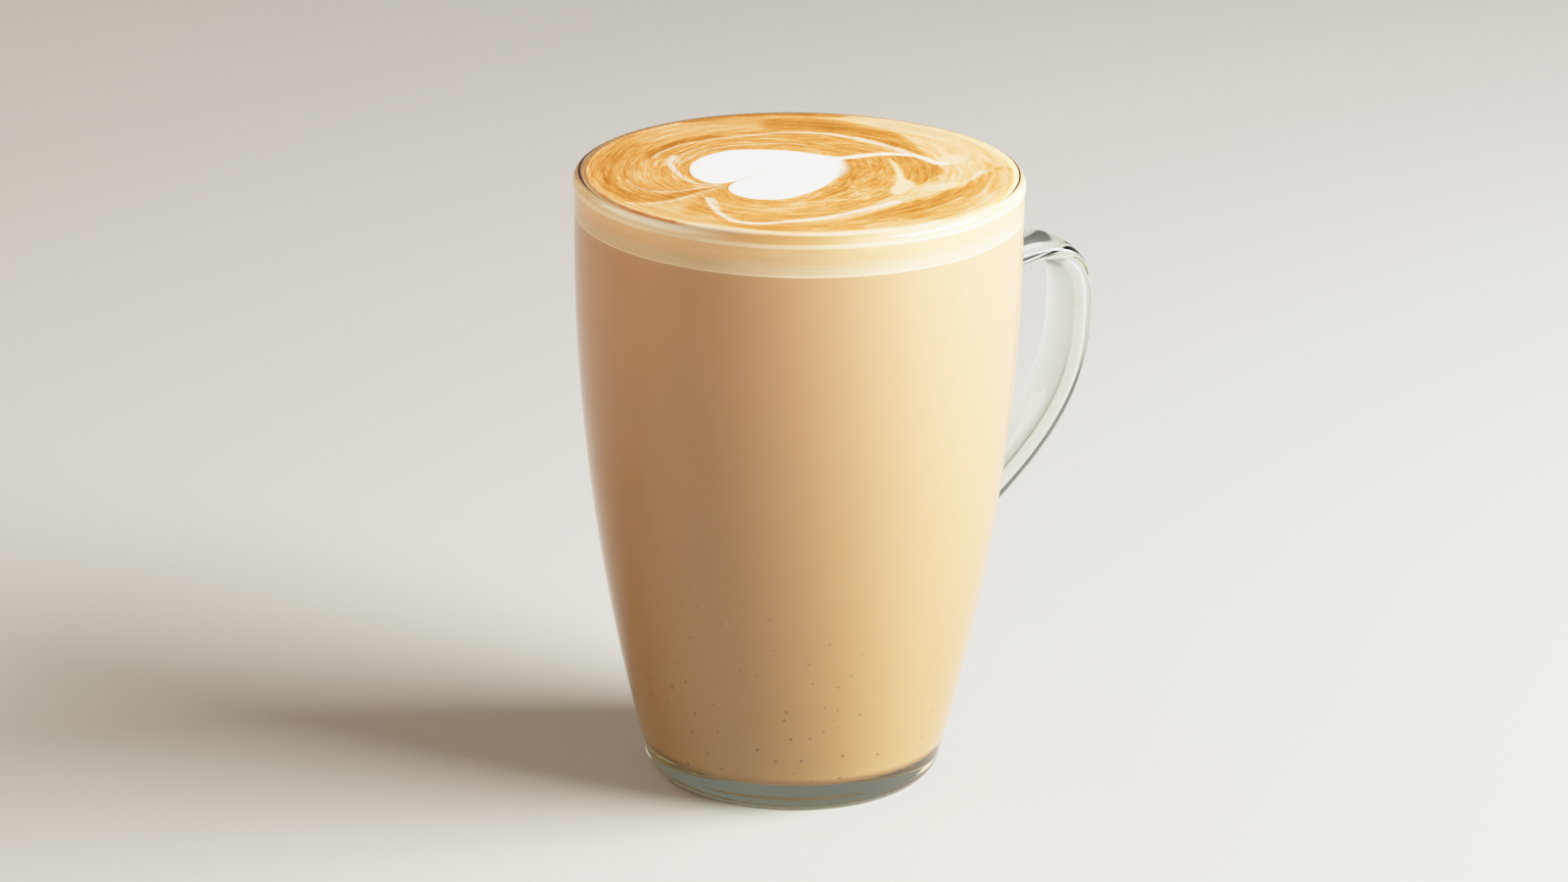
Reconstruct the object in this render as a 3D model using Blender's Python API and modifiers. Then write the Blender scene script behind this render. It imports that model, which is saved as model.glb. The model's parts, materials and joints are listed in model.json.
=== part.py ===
"""A latte in a clear glass mug, filled to the rim.

The mug is one piece of glass with a strap handle. It holds a body of milky coffee,
a layer of milk foam on top of it, and a white heart poured into the foam.
Units are metres and +Z is up. The mug's axis is Z, it stands on z = 0 and its
handle points along +X.
"""

import math

import bmesh
import bpy
from mathutils import Vector

MM = 0.001

# Heights above the table
RIM_HEIGHT = 124.7 * MM
BEAD_HEIGHT = 3.6 * MM
STRAIGHT_FROM = 112.0 * MM
COFFEE_LEVEL = 116.8 * MM
FOAM_EDGE_HEIGHT = 124.9 * MM
FOAM_CROWN = 0.5 * MM

# Radii of the glass
RIM_RADIUS = 44.45 * MM
BODY_RADIUS = 44.25 * MM
FOOT_RADIUS = 28.9 * MM
BEAD_WIDTH = 2.5 * MM
WALL = 2.2 * MM
FLOOR = 5.0 * MM
HEEL_ROUND = 4.5 * MM
CORNER_ROUND = 6.0 * MM

# The strap handle
STRAP_WIDTH = 14.5 * MM
STRAP_THICKNESS = 4.5 * MM
STRAP_SQUARENESS = 2.5
ROOT_FLARE = 1.05
ROOT_DEPTH = 8.0 * MM
UPPER_ROOT_HEIGHT = 98.5 * MM
LOWER_ROOT_HEIGHT = 46.6 * MM
HANDLE_REACH = 64.0 * MM
HANDLE_REACH_HEIGHT = 88.6 * MM

# The points, as (radius, height), that pull the strap's path into its curve
UPPER_ROOT_PULL = (57.1 * MM, 105.1 * MM)
SHOULDER_PULL = (64.6 * MM, 103.4 * MM)
GRIP_PULL = (64.0 * MM, 73.6 * MM)
LOWER_ROOT_PULL = (57.9 * MM, 62.6 * MM)

# The heart in the foam
HEART_DEPTH = 1.2 * MM
HEART_CUT_ABOVE = 4.0 * MM
FOAM_EDGE_ROUND = 0.6 * MM

GAP = 0.3 * MM
WELD = 0.01 * MM

# Facets
TURN_STEPS = 64
WALL_RINGS = 10
ARC_STEPS = 4
CROWN_RINGS = 4
STRAP_SIDES = 16
HANDLE_STEPS = 10
HEART_STEPS = 4


def outer_radius(z):
    """The mug widens from its foot along a parabola, then runs straight up."""
    if z >= STRAIGHT_FROM:
        return BODY_RADIUS
    return BODY_RADIUS - (BODY_RADIUS - FOOT_RADIUS) * (1 - z / STRAIGHT_FROM) ** 2


def inner_radius(z):
    return outer_radius(z) - WALL


def spread(start, end, count):
    """Evenly spaced values from start to end, both included."""
    return [start + (end - start) * i / count for i in range(count + 1)]


def arc(centre_r, centre_z, radius_r, radius_z, start_deg, end_deg, count):
    """Points of an ellipse's arc as (radius, height) pairs."""
    points = []
    for degrees in spread(start_deg, end_deg, count):
        angle = math.radians(degrees)
        r = centre_r + radius_r * math.cos(angle)
        z = centre_z + radius_z * math.sin(angle)
        points.append((r, z))
    return points


def clear_scene():
    for item in list(bpy.data.objects):
        bpy.data.objects.remove(item, do_unlink=True)


def new_collection(name):
    collection = bpy.data.collections.new(name)
    bpy.context.scene.collection.children.link(collection)
    return collection


def new_material(name, colour, roughness, transmission=0.0, ior=1.45):
    material = bpy.data.materials.new(name)
    material.use_nodes = True
    shader = material.node_tree.nodes["Principled BSDF"]
    shader.inputs["Base Color"].default_value = (*colour, 1.0)
    shader.inputs["Roughness"].default_value = roughness
    shader.inputs["Metallic"].default_value = 0.0
    shader.inputs["Transmission Weight"].default_value = transmission
    shader.inputs["IOR"].default_value = ior
    material.diffuse_color = (*colour, 1.0)
    return material


def new_object(name, data, collection, material=None):
    item = bpy.data.objects.new(name, data)
    collection.objects.link(item)
    if material:
        data.materials.append(material)
    return item


def make_cutter(item):
    item.hide_render = True
    item.display_type = "WIRE"
    return item


def add_boolean(item, operation, other):
    modifier = item.modifiers.new(f"{operation.lower()} {other.name}", "BOOLEAN")
    modifier.operation = operation
    modifier.solver = "EXACT"
    modifier.object = other


def turned(name, profile, collection, material=None):
    """Spin a profile of (radius, height) pairs once round Z."""
    mesh = bpy.data.meshes.new(name)
    vertices = [(r, 0.0, z) for r, z in profile]
    edges = [(i, i + 1) for i in range(len(profile) - 1)]
    mesh.from_pydata(vertices, edges, [])
    item = new_object(name, mesh, collection, material)
    screw = item.modifiers.new("turn", "SCREW")
    screw.axis = "Z"
    screw.angle = math.tau
    screw.steps = TURN_STEPS
    screw.render_steps = TURN_STEPS
    screw.use_merge_vertices = True
    screw.merge_threshold = WELD
    screw.use_smooth_shade = True
    return item


def mesh_from_curve(item):
    """Turn a curve object into a mesh with welded caps, so that it can be cut or joined."""
    bpy.context.view_layer.update()
    graph = bpy.context.evaluated_depsgraph_get()
    mesh = bpy.data.meshes.new_from_object(item.evaluated_get(graph))
    welded = bmesh.new()
    welded.from_mesh(mesh)
    bmesh.ops.remove_doubles(welded, verts=welded.verts, dist=WELD)
    bmesh.ops.recalc_face_normals(welded, faces=welded.faces)
    welded.to_mesh(mesh)
    welded.free()
    solid = bpy.data.objects.new(item.name, mesh)
    solid.matrix_world = item.matrix_world
    for collection in item.users_collection:
        collection.objects.link(solid)
    name = item.name
    bpy.data.objects.remove(item, do_unlink=True)
    solid.name = name
    return solid


def corner_arc(centre_height, offset, start_deg, end_deg):
    """The round between floor and wall, set in from the glass by offset."""
    centre_r = inner_radius(centre_height) - CORNER_ROUND
    radius = CORNER_ROUND - offset
    return arc(centre_r, centre_height, radius, radius, start_deg, end_deg, ARC_STEPS)


def glass_profile():
    """Inside of the floor, up the inner wall, over the rim, down the outside, under the foot."""
    bead_r = RIM_RADIUS - BEAD_WIDTH / 2
    bead_z = RIM_HEIGHT - BEAD_HEIGHT / 2
    corner_height = FLOOR + CORNER_ROUND
    bead_bottom = RIM_HEIGHT - BEAD_HEIGHT
    inner_heights = spread(corner_height, bead_bottom, WALL_RINGS)
    outer_heights = spread(bead_bottom, HEEL_ROUND, WALL_RINGS)
    heel_r = outer_radius(HEEL_ROUND) - HEEL_ROUND
    profile = [(0.0, FLOOR)]
    profile += corner_arc(corner_height, 0.0, -90, 0)[:-1]
    profile += [(inner_radius(z), z) for z in inner_heights]
    profile += arc(bead_r, bead_z, BEAD_WIDTH / 2, BEAD_HEIGHT / 2, 180, 0, 2 * ARC_STEPS)
    profile += [(outer_radius(z), z) for z in outer_heights]
    profile += arc(heel_r, HEEL_ROUND, HEEL_ROUND, HEEL_ROUND, 0, -90, ARC_STEPS)[1:]
    profile.append((0.0, 0.0))
    return profile


def wall_core_profile():
    """A solid that reaches to the middle of the glass wall. It trims the handle's roots."""
    top = RIM_HEIGHT
    profile = [(0.0, top)]
    profile += [(outer_radius(z) - WALL / 2, z) for z in spread(top, FLOOR, WALL_RINGS)]
    profile.append((0.0, FLOOR))
    return profile


def strap_section(collection):
    """The strap's section: a rounded oblong, wide across the handle and thin along its reach."""
    curve = bpy.data.curves.new("strap_section", "CURVE")
    curve.dimensions = "2D"
    spline = curve.splines.new("POLY")
    spline.points.add(STRAP_SIDES - 1)
    spline.use_cyclic_u = True
    power = 2 / STRAP_SQUARENESS
    for i, point in enumerate(spline.points):
        angle = math.tau * (i + 0.5) / STRAP_SIDES
        across = math.copysign(abs(math.cos(angle)) ** power, math.cos(angle))
        through = math.copysign(abs(math.sin(angle)) ** power, math.sin(angle))
        point.co = (across * STRAP_WIDTH / 2, through * STRAP_THICKNESS / 2, 0.0, 1.0)
    return make_cutter(new_object("strap_section", curve, collection))


def make_handle(collection):
    """The strap rises from the wall, turns down at its reach and slants back to the wall."""
    curve = bpy.data.curves.new("handle", "CURVE")
    curve.dimensions = "3D"
    curve.twist_mode = "MINIMUM"
    curve.resolution_u = HANDLE_STEPS
    curve.bevel_mode = "OBJECT"
    curve.bevel_object = strap_section(collection)
    curve.use_fill_caps = True
    root_r = BODY_RADIUS - ROOT_DEPTH
    upper_root = (root_r, UPPER_ROOT_HEIGHT)
    lower_root = (root_r, LOWER_ROOT_HEIGHT)
    reach = (HANDLE_REACH, HANDLE_REACH_HEIGHT)
    knots = [
        # place, pull before it, pull after it, flare
        (upper_root, upper_root, UPPER_ROOT_PULL, ROOT_FLARE),
        (reach, SHOULDER_PULL, GRIP_PULL, 1.0),
        (lower_root, LOWER_ROOT_PULL, lower_root, ROOT_FLARE),
    ]
    spline = curve.splines.new("BEZIER")
    spline.bezier_points.add(len(knots) - 1)
    for point, (place, before, after, flare) in zip(spline.bezier_points, knots):
        point.handle_left_type = "FREE"
        point.handle_right_type = "FREE"
        point.co = (place[0], 0.0, place[1])
        point.handle_left = (before[0], 0.0, before[1])
        point.handle_right = (after[0], 0.0, after[1])
        point.radius = flare
    strap = mesh_from_curve(new_object("handle", curve, collection))
    core = make_cutter(turned("wall_core", wall_core_profile(), collection))
    add_boolean(strap, "DIFFERENCE", core)
    return make_cutter(strap)


def coffee_profile():
    """The coffee fills the mug up to the foam, a small gap inside the glass."""
    corner_height = FLOOR + CORNER_ROUND
    heights = spread(COFFEE_LEVEL, corner_height, WALL_RINGS)
    profile = [(0.0, COFFEE_LEVEL)]
    profile += [(inner_radius(z) - GAP, z) for z in heights]
    profile += corner_arc(corner_height, GAP, 0, -90)[1:]
    profile.append((0.0, FLOOR + GAP))
    return profile


def crown_height(r):
    """The foam stands a little higher at its middle than at the glass."""
    reach = inner_radius(STRAIGHT_FROM) - GAP
    return FOAM_EDGE_HEIGHT + FOAM_CROWN * (1 - (r / reach) ** 2)


def foam_profile():
    reach = inner_radius(STRAIGHT_FROM) - GAP
    edge_r = reach - FOAM_EDGE_ROUND
    edge_z = crown_height(edge_r) - FOAM_EDGE_ROUND
    profile = [(r, crown_height(r)) for r in spread(0.0, edge_r, CROWN_RINGS)]
    profile += arc(edge_r, edge_z, FOAM_EDGE_ROUND, FOAM_EDGE_ROUND, 90, 0, ARC_STEPS)[1:]
    profile += [(reach, COFFEE_LEVEL + GAP), (0.0, COFFEE_LEVEL + GAP)]
    return profile


def through_knots(before, start, end, after, count):
    """Points of a smooth curve from start up to end, which its two neighbours bend."""
    points = []
    for i in range(count):
        t = i / count
        straight = 2 * start + (end - before) * t
        bend = (2 * before - 5 * start + 4 * end - after) * t**2
        twist = (3 * start - before - 3 * end + after) * t**3
        points.append((straight + bend + twist) / 2)
    return points


def heart_outline():
    """The heart seen from above, anticlockwise. Its tip points to the handle."""
    knots = [
        # x and y in millimetres, and whether the outline has a corner there
        (11.0, 3.0, True),
        (4.1, 12.7, False),
        (-7.1, 17.7, False),
        (-19.2, 10.2, False),
        (-20.8, 3.2, False),
        (-17.6, -1.2, False),
        (-12.0, -0.4, True),
        (-18.8, -7.4, False),
        (-17.8, -13.6, False),
        (-12.6, -16.6, False),
        (-4.0, -14.6, False),
        (4.5, -9.0, False),
        (9.6, -2.4, False),
    ]
    places = [Vector((x, y)) * MM for x, y, corner in knots]
    corners = [corner for x, y, corner in knots]
    count = len(knots)
    outline = []
    for i in range(count):
        start, end = places[i], places[(i + 1) % count]
        before = start if corners[i] else places[i - 1]
        after = end if corners[(i + 1) % count] else places[(i + 2) % count]
        outline += through_knots(before, start, end, after, HEART_STEPS)
    return outline


def shrunk(outline, distance):
    """An anticlockwise outline with every side moved inwards by a distance."""
    moved = []
    for i, point in enumerate(outline):
        side_in = (point - outline[i - 1]).normalized()
        side_out = (outline[(i + 1) % len(outline)] - point).normalized()
        normal_in = Vector((side_in.y, -side_in.x))
        normal_out = Vector((side_out.y, -side_out.x))
        middle = (normal_in + normal_out).normalized()
        moved.append(point - middle * distance / middle.dot(normal_in))
    return moved


def heart_prism(name, bottom, shrink, collection):
    """A heart-shaped block from a height up past the foam."""
    height = FOAM_EDGE_HEIGHT + HEART_CUT_ABOVE - bottom
    curve = bpy.data.curves.new(name, "CURVE")
    curve.dimensions = "2D"
    curve.fill_mode = "BOTH"
    curve.extrude = height / 2
    outline = shrunk(heart_outline(), shrink)
    spline = curve.splines.new("POLY")
    spline.points.add(len(outline) - 1)
    spline.use_cyclic_u = True
    for point, (x, y) in zip(spline.points, outline):
        point.co = (x, y, 0.0, 1.0)
    item = new_object(name, curve, collection)
    item.location.z = bottom + height / 2
    return mesh_from_curve(item)


def make_milk_heart(foam_blank, parts, material):
    """The heart lies in its recess, flush with the foam: a heart block cut off by the foam."""
    bottom = FOAM_EDGE_HEIGHT - HEART_DEPTH + GAP
    heart = heart_prism("milk_heart", bottom, GAP, parts)
    heart.data.materials.append(material)
    add_boolean(heart, "INTERSECT", foam_blank)
    return heart


def main():
    clear_scene()
    parts = new_collection("latte")
    cutters = new_collection("latte cutters")

    glass = new_material("clear glass", (0.86, 0.93, 0.90), 0.03, transmission=1.0, ior=1.52)
    coffee_brown = new_material("milky coffee", (0.60, 0.36, 0.19), 0.35)
    foam_tan = new_material("crema foam", (0.72, 0.36, 0.10), 0.55)
    milk_white = new_material("steamed milk", (0.93, 0.88, 0.80), 0.50)

    mug = turned("glass_mug", glass_profile(), parts, glass)
    add_boolean(mug, "UNION", make_handle(cutters))

    turned("coffee", coffee_profile(), parts, coffee_brown)

    foam_blank = make_cutter(turned("foam_blank", foam_profile(), cutters))
    recess = heart_prism("heart_recess", FOAM_EDGE_HEIGHT - HEART_DEPTH, 0.0, cutters)
    make_cutter(recess)
    foam = turned("milk_foam", foam_profile(), parts, foam_tan)
    add_boolean(foam, "DIFFERENCE", recess)
    make_milk_heart(foam_blank, parts, milk_white)


main()
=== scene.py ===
# %% [markdown]
# # A latte in a clear glass mug
#
# The real thing is a tall pressed-glass mug, full to its brim with milky coffee. A layer of
# milk foam floats on the coffee, stained tan by the crema, and a white heart is poured into it.
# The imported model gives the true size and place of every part, so it is loaded first. Each step
# below then puts a finer surface where the plain part stands.

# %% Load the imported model
import json
import math

import bpy
import numpy as np
from mathutils import Matrix, Vector, kdtree

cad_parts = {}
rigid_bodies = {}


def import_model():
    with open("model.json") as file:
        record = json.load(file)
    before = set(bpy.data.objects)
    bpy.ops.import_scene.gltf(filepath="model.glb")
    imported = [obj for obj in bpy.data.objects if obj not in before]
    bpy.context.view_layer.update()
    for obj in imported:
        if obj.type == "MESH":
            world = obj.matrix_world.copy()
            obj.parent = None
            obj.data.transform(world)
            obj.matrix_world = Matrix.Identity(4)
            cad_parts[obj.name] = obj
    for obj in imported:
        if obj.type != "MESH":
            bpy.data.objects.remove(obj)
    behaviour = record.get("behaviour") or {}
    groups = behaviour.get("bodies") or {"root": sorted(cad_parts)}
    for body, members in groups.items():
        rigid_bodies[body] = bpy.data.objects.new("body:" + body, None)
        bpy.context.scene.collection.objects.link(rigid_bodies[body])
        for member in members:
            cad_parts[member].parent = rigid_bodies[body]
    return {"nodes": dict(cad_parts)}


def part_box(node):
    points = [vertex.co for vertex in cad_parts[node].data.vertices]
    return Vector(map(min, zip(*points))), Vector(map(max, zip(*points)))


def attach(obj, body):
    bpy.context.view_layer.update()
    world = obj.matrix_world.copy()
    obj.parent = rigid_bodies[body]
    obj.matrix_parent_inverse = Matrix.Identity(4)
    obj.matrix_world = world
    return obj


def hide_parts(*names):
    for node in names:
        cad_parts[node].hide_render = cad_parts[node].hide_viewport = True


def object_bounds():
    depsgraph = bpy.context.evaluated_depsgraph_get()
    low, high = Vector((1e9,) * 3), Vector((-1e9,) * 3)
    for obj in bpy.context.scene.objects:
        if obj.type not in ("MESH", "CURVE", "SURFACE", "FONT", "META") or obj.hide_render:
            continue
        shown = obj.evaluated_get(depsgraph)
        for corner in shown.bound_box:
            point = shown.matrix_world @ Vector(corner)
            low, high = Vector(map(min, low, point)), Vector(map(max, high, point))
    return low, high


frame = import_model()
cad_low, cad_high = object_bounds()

MM = 0.001
print("parts:", sorted(frame["nodes"]))

# %% [markdown]
# ## The sizes everything follows
#
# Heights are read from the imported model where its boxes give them. What a box can't give, such
# as the curve of the wall, is written here once as a real size in metres. The wall widens from
# the foot along a parabola and then runs straight up, which is how such a mug is pressed. Its
# floor is thick, with a tight corner inside, because the pressing die needs that glass to flow.

# %% Heights and radii of the mug
RIM_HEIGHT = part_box("glass_mug")[1].z
COFFEE_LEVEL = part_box("coffee")[1].z
RIM_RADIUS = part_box("glass_mug")[1].y
CROWN_HEIGHT = cad_high.z

BEAD_HEIGHT = 3.6 * MM
BEAD_WIDTH = 2.5 * MM
STRAIGHT_FROM = 112.0 * MM
BODY_RADIUS = RIM_RADIUS - 0.2 * MM
FOOT_RADIUS = 28.9 * MM
WALL = 2.2 * MM
FLOOR = 6.8 * MM
HEEL_ROUND = 4.5 * MM
CORNER_ROUND = 2.0 * MM


def outer_radius(z):
    """The wall's outside at a height."""
    rise = np.clip(z / STRAIGHT_FROM, 0.0, 1.0)
    return BODY_RADIUS - (BODY_RADIUS - FOOT_RADIUS) * (1 - rise) ** 2


def inner_radius(z):
    """The wall's inside at a height."""
    return outer_radius(z) - WALL


print(f"rim {RIM_HEIGHT / MM:.1f} mm high, {2 * RIM_RADIUS / MM:.1f} mm across")
print(f"coffee up to {COFFEE_LEVEL / MM:.1f} mm")

# %% [markdown]
# ## Turned pieces
#
# The mug, the coffee and the foam are all turned: one profile swept round the axis. A Screw
# modifier would do it, but here each ring's angles are chosen, so that the facets can be finer
# where the handle joins. Plain arrays of points make that easy, and a closed profile that starts
# and ends on the axis always gives a closed skin.

# %% A helper that turns a profile
def arc(centre_r, centre_z, radius_r, radius_z, start_deg, end_deg, count):
    """Points of an ellipse's arc as (radius, height) pairs."""
    angle = np.radians(np.linspace(start_deg, end_deg, count + 1))
    r = centre_r + radius_r * np.cos(angle)
    z = centre_z + radius_z * np.sin(angle)
    return list(zip(r, z))


def turned(profile, angles):
    """Vertices and faces of a profile turned round Z. Its first and last points lie on the axis."""
    rings = profile[1:-1]
    count = len(angles)
    around = np.stack([np.cos(angles), np.sin(angles)], axis=1)
    vertices = [(0.0, 0.0, profile[0][1])]
    for r, z in rings:
        vertices += [(r * x, r * y, z) for x, y in around]
    vertices.append((0.0, 0.0, profile[-1][1]))
    last = len(vertices) - 1
    faces = []
    for j in range(count):
        k = (j + 1) % count
        faces.append((0, 1 + j, 1 + k))
        for i in range(len(rings) - 1):
            low, high = 1 + i * count, 1 + (i + 1) * count
            faces.append((low + j, high + j, high + k, low + k))
        end = 1 + (len(rings) - 1) * count
        faces.append((end + j, last, end + k))
    return vertices, faces


def new_piece(name, vertices, faces):
    """A smooth-shaded mesh object in the scene."""
    mesh = bpy.data.meshes.new(name)
    mesh.from_pydata([tuple(v) for v in vertices], [], faces)
    mesh.shade_smooth()
    piece = bpy.data.objects.new(name, mesh)
    bpy.context.scene.collection.objects.link(piece)
    return piece


EVEN_ANGLES = np.linspace(0.0, math.tau, 256, endpoint=False)
print("turned pieces have", len(EVEN_ANGLES), "sides")

# %% [markdown]
# ## Colours and nodes
#
# Colours are given as sRGB hex values, the way a paint program shows them. Blender's
# sockets want linear light, so one function turns them over. A second small function adds a
# shader node with its settings and its links, and hands back an output that the next node can
# take, which keeps each material readable as a recipe.

# %% Helpers for colours and shader nodes
def linear(hex_colour):
    """An sRGB hex value as linear red, green, blue and alpha."""
    channels = [int(hex_colour[i:i + 2], 16) / 255 for i in (1, 3, 5)]
    toe, slope, offset, power = 0.04045, 12.92, 0.055, 2.4
    light = [c / slope if c <= toe else ((c + offset) / (1 + offset)) ** power for c in channels]
    return (*light, 1.0)


def add(material, kind, inputs=(), output=0, **settings):
    """Add a node and return an output. Each input is a value, or the output that feeds it."""
    tree = material.node_tree
    node = tree.nodes.new("ShaderNode" + kind)
    for name, value in settings.items():
        setattr(node, name, value)
    for name, value in dict(inputs).items():
        if isinstance(value, bpy.types.NodeSocket):
            tree.links.new(value, node.inputs[name])
        else:
            node.inputs[name].default_value = value
    return node.outputs[output] if node.outputs else node


def new_material(name):
    """A material with no nodes yet."""
    material = bpy.data.materials.new(name)
    material.use_nodes = True
    material.node_tree.nodes.clear()
    return material


print("white is", linear("#ffffff"))

# %% [markdown]
# ## Soda-lime glass
#
# The mug is pressed soda-lime glass: clear, very smooth, with a green tint that only shows where
# the eye looks through a lot of it, at the rim and in the thick foot. A volume that absorbs a
# little light per metre does just that, where a tinted surface would not. The refractive index
# is 1.52. Lamps have to reach the drink through the wall, and a path tracer finds that light
# slowly, so for lamp light alone the glass lets through what a clear wall would. A faint
# waviness from the mould, about a centimetre long, bends the reflections a little.

# %% The glass material
GLASS_IOR = 1.52
GLASS_TINT = "#f8fcfa"
GLASS_GREEN = "#bbe6b6"
ABSORBED_PER_METRE = 7.5
LAMP_LIGHT_THROUGH = "#f0f6f2"
WAVE_LENGTH = 11.0 * MM
WAVE_HEIGHT = 0.02 * MM
WAVE_STRENGTH = 0.5


def soda_lime_glass():
    """Clear pressed glass: sharp reflections, and green only where it is thick."""
    material = new_material("soda lime glass, pressed")
    place = add(material, "TexCoord", output="Object")
    wave = add(material, "TexNoise", {"Vector": place, "Scale": 1 / WAVE_LENGTH, "Detail": 1.0})
    relief = {"Height": wave, "Strength": WAVE_STRENGTH, "Distance": WAVE_HEIGHT}
    glass = add(material, "BsdfPrincipled", {
        "Base Color": linear(GLASS_TINT),
        "Roughness": 0.0,
        "IOR": GLASS_IOR,
        "Transmission Weight": 1.0,
        "Normal": add(material, "Bump", relief),
    })
    clear = add(material, "BsdfTransparent", {"Color": linear(LAMP_LIGHT_THROUGH)})
    lamp_ray = add(material, "LightPath", output="Is Shadow Ray")
    mix = add(material, "MixShader", {0: lamp_ray, 1: glass, 2: clear})
    green = {"Color": linear(GLASS_GREEN), "Density": ABSORBED_PER_METRE}
    volume = add(material, "VolumeAbsorption", green)
    add(material, "OutputMaterial", {"Surface": mix, "Volume": volume})
    return material


glass_material = soda_lime_glass()
print("glass index", GLASS_IOR)

# %% [markdown]
# ## The mug's body
#
# The body is turned from one closed profile: the inside of the floor, the inner wall, the rolled
# bead of the rim, the outer wall and the rounded heel. Rings and sides are closer together where
# the handle's roots will join, so that the joint can be smoothed there.

# %% Rings of the body
UPPER_ROOT = (88.0 * MM, 112.0 * MM)
LOWER_ROOT = (40.0 * MM, 62.0 * MM)
RING_SPACING = 3.0 * MM
ROOT_SPACING = 0.7 * MM
CORNER_STEPS = 12
WALL_STEPS = 40
BEAD_STEPS = 28
HEEL_STEPS = 14


def heights_down(start, end):
    """Heights of the outer wall's rings, closer together where the handle's roots are."""
    heights = [start]
    while heights[-1] > end + RING_SPACING:
        z = heights[-1]
        near_root = any(low < z < high for low, high in (UPPER_ROOT, LOWER_ROOT))
        heights.append(z - (ROOT_SPACING if near_root else RING_SPACING))
    return heights + [end]


def body_profile():
    """The mug's section, from the floor's middle over the rim to the foot's middle."""
    bead_r = RIM_RADIUS - BEAD_WIDTH / 2
    bead_z = RIM_HEIGHT - BEAD_HEIGHT / 2
    bead_bottom = RIM_HEIGHT - BEAD_HEIGHT
    corner_z = FLOOR + CORNER_ROUND
    corner_r = inner_radius(corner_z) - CORNER_ROUND
    heel_r = outer_radius(HEEL_ROUND) - HEEL_ROUND
    profile = [(0.0, FLOOR)]
    profile += arc(corner_r, corner_z, CORNER_ROUND, CORNER_ROUND, -90, 0, CORNER_STEPS)[:-1]
    profile += [(inner_radius(z), z) for z in np.linspace(corner_z, bead_bottom, WALL_STEPS)]
    profile += arc(bead_r, bead_z, BEAD_WIDTH / 2, BEAD_HEIGHT / 2, 180, 0, BEAD_STEPS)
    profile += [(outer_radius(z), z) for z in heights_down(bead_bottom, HEEL_ROUND)]
    profile += arc(heel_r, HEEL_ROUND, HEEL_ROUND, HEEL_ROUND, 0, -90, HEEL_STEPS)[1:]
    profile.append((0.0, 0.0))
    return profile


print("the body's profile has", len(body_profile()), "points")

# %% Turn the body
ROOT_ANGLE = math.radians(15.0)
ROOT_SIDES = 40
OTHER_SIDES = 200

root_angles = np.linspace(-ROOT_ANGLE, ROOT_ANGLE, ROOT_SIDES, endpoint=False)
other_angles = np.linspace(ROOT_ANGLE, math.tau - ROOT_ANGLE, OTHER_SIDES, endpoint=False)
body_angles = np.append(root_angles, other_angles)
mug = new_piece("glass_mug_clear", *turned(body_profile(), body_angles))
print("body:", len(mug.data.polygons), "faces")

# %% [markdown]
# ## The strap handle
#
# The handle is a flat strap of glass, pressed together with the body. Its path lies in one plane,
# so a loft is simple: a rounded oblong, wide across and thin along the reach, is set square to
# the path at many steps. A curve with a bevel object would do the same, but the loft lets the
# strap widen smoothly into the wall at both roots, as molten glass does.

# %% The strap's section and path
STRAP_WIDTH = 14.5 * MM
STRAP_THICKNESS = 4.5 * MM
STRAP_SQUARENESS = 2.5
ROOT_R = BODY_RADIUS - 8.0 * MM
GRIP = (63.9 * MM, 88.6 * MM)
HANDLE_PATH = [
    # the two Bezier pieces, each as start, two pulls and end, as (radius, height)
    [(ROOT_R, 98.5 * MM), (57.1 * MM, 105.1 * MM), (64.5 * MM, 103.4 * MM), GRIP],
    [GRIP, (63.9 * MM, 73.6 * MM), (57.9 * MM, 62.6 * MM), (ROOT_R, 46.6 * MM)],
]
STRAP_SIDES = 56
PATH_STEPS = 60


def bezier(points, t):
    """A cubic Bezier piece's points and directions at the shares t of its length."""
    a, b, c, d = [np.array(p) for p in points]
    t = t[:, None]
    place = (1 - t) ** 3 * a + 3 * (1 - t) ** 2 * t * b + 3 * (1 - t) * t**2 * c + t**3 * d
    along = 3 * ((1 - t) ** 2 * (b - a) + 2 * (1 - t) * t * (c - b) + t**2 * (d - c))
    return place, along / np.linalg.norm(along, axis=1)[:, None]


def strap_section():
    """The strap's section as (across, through) pairs: a superellipse."""
    angle = math.tau * (np.arange(STRAP_SIDES) + 0.5) / STRAP_SIDES
    power = 2 / STRAP_SQUARENESS
    across = np.sign(np.cos(angle)) * np.abs(np.cos(angle)) ** power * STRAP_WIDTH / 2
    through = np.sign(np.sin(angle)) * np.abs(np.sin(angle)) ** power * STRAP_THICKNESS / 2
    return across, through


print(f"strap {STRAP_WIDTH / MM:.1f} mm wide, {STRAP_THICKNESS / MM:.1f} mm thick")


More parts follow.
